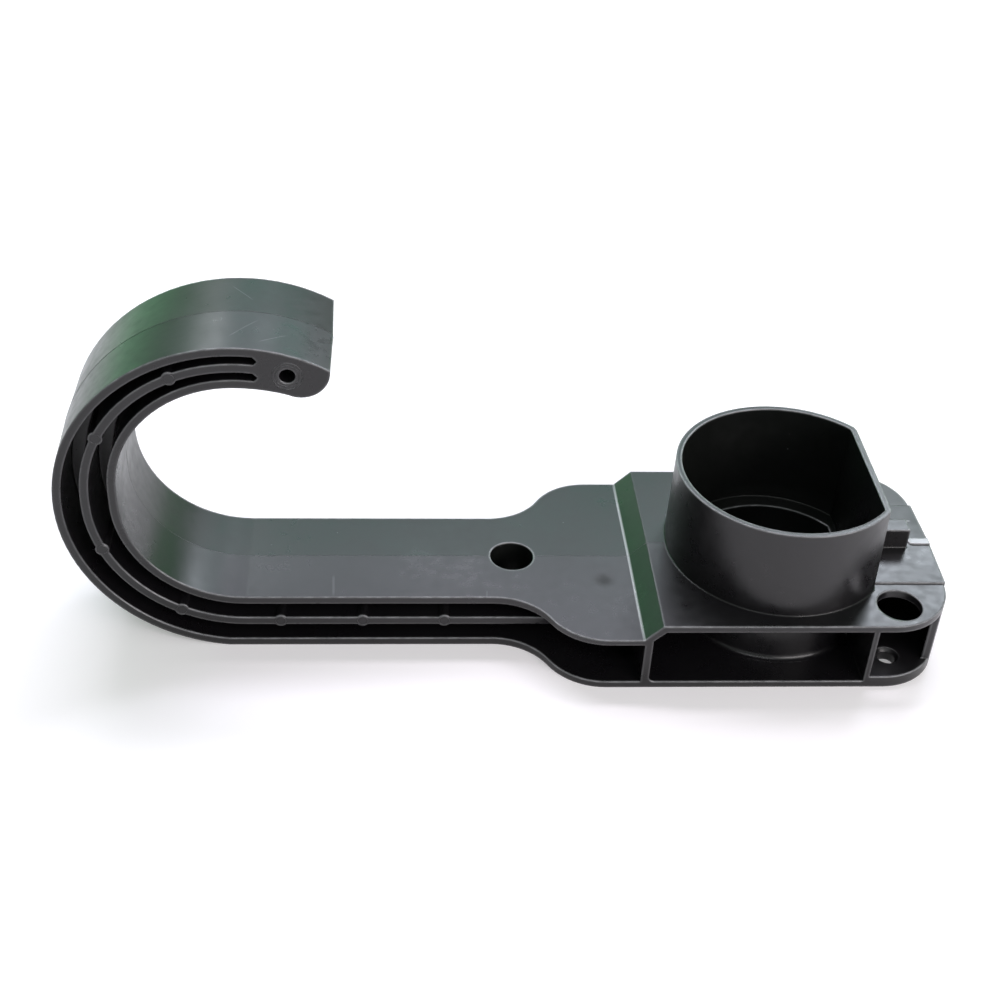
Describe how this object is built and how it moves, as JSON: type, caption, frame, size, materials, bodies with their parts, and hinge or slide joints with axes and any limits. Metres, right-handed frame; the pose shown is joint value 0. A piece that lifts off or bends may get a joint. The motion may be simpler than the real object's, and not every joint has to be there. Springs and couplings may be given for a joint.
{
  "type": "charging cable organizer",
  "caption": "Moulded wall holder for a charging cable: a wide J-shaped hook for the coiled cable, a ribbed neck and back plate, and a D-shaped cup that the connector plugs into.",
  "frame": {"origin": "on the flat back face, under the middle of the connector cup", "axes": "+X along the length from the hook to the end of the plate, +Y across the width, +Z out of the wall towards the cup's mouth"},
  "size_m": [0.2483, 0.0724, 0.0994],
  "materials": {
    "black_plastic": "near-black injection-moulded plastic with a satin gloss, fine handling scratches and slightly brighter rounded edges"
  },
  "bodies": {
    "root": {"holder": "black_plastic"}
  },
  "joints": []
}
